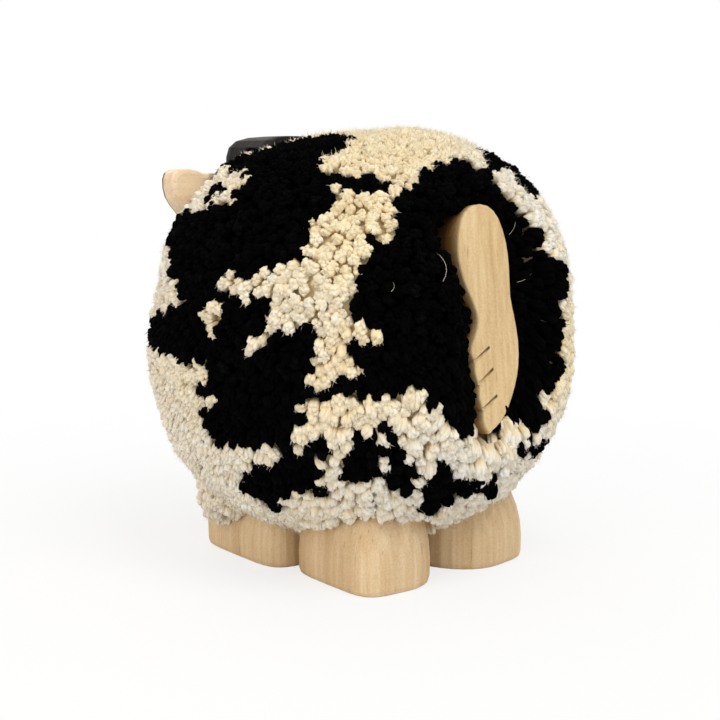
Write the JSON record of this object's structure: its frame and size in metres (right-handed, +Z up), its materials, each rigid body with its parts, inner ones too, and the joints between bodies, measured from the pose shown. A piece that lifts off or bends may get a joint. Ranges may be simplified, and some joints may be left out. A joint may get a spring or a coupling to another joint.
{
  "type": "cow figurine",
  "caption": "Round wool-coated cow ornament on stubby wooden feet, with a carved wooden tail board, a dark blocky head and pale wooden ears.",
  "frame": {"origin": "on the floor the cow stands on, under the middle of its outer box", "axes": "+Z up, +X towards the cow's left side, +Y towards its tail, so it faces -Y"},
  "size_m": [0.1832, 0.1952, 0.1879],
  "materials": {
    "pale_wood": "bare sanded pale wood",
    "hidden_wood": "bare turned wood, out of sight",
    "black_painted_wood": "thin matte black paint on wood",
    "glossy_black_button": "polished black",
    "cream_wool": "cut pile of thick cream yarn",
    "black_wool": "cut pile of thick black yarn"
  },
  "bodies": {
    "root": {"body_core": "hidden_wood", "foot_hind_left": "pale_wood", "foot_hind_right": "pale_wood", "foot_front_left": "pale_wood", "foot_front_right": "pale_wood", "foot_dowel_hind_left": "hidden_wood", "foot_dowel_hind_right": "hidden_wood", "foot_dowel_front_left": "hidden_wood", "foot_dowel_front_right": "hidden_wood", "tail_board": "pale_wood", "tail_dowel_upper": "hidden_wood", "tail_dowel_lower": "hidden_wood", "head": "black_painted_wood", "head_dowel_left": "hidden_wood", "head_dowel_right": "hidden_wood", "muzzle": "pale_wood", "eye_left": "glossy_black_button", "eye_right": "glossy_black_button", "ear_left": "pale_wood", "ear_right": "pale_wood", "wool_coat_cream": "cream_wool", "wool_patch_left_shoulder": "black_wool", "wool_patch_left_flank": "black_wool", "wool_patch_left_belly": "black_wool", "wool_patch_rump": "black_wool", "wool_patch_hind_belly": "black_wool", "wool_patch_under_tail": "black_wool", "wool_patch_right_flank": "black_wool", "wool_patch_right_shoulder": "black_wool", "wool_patch_chest": "black_wool", "wool_patch_right_belly": "black_wool"}
  },
  "joints": []
}
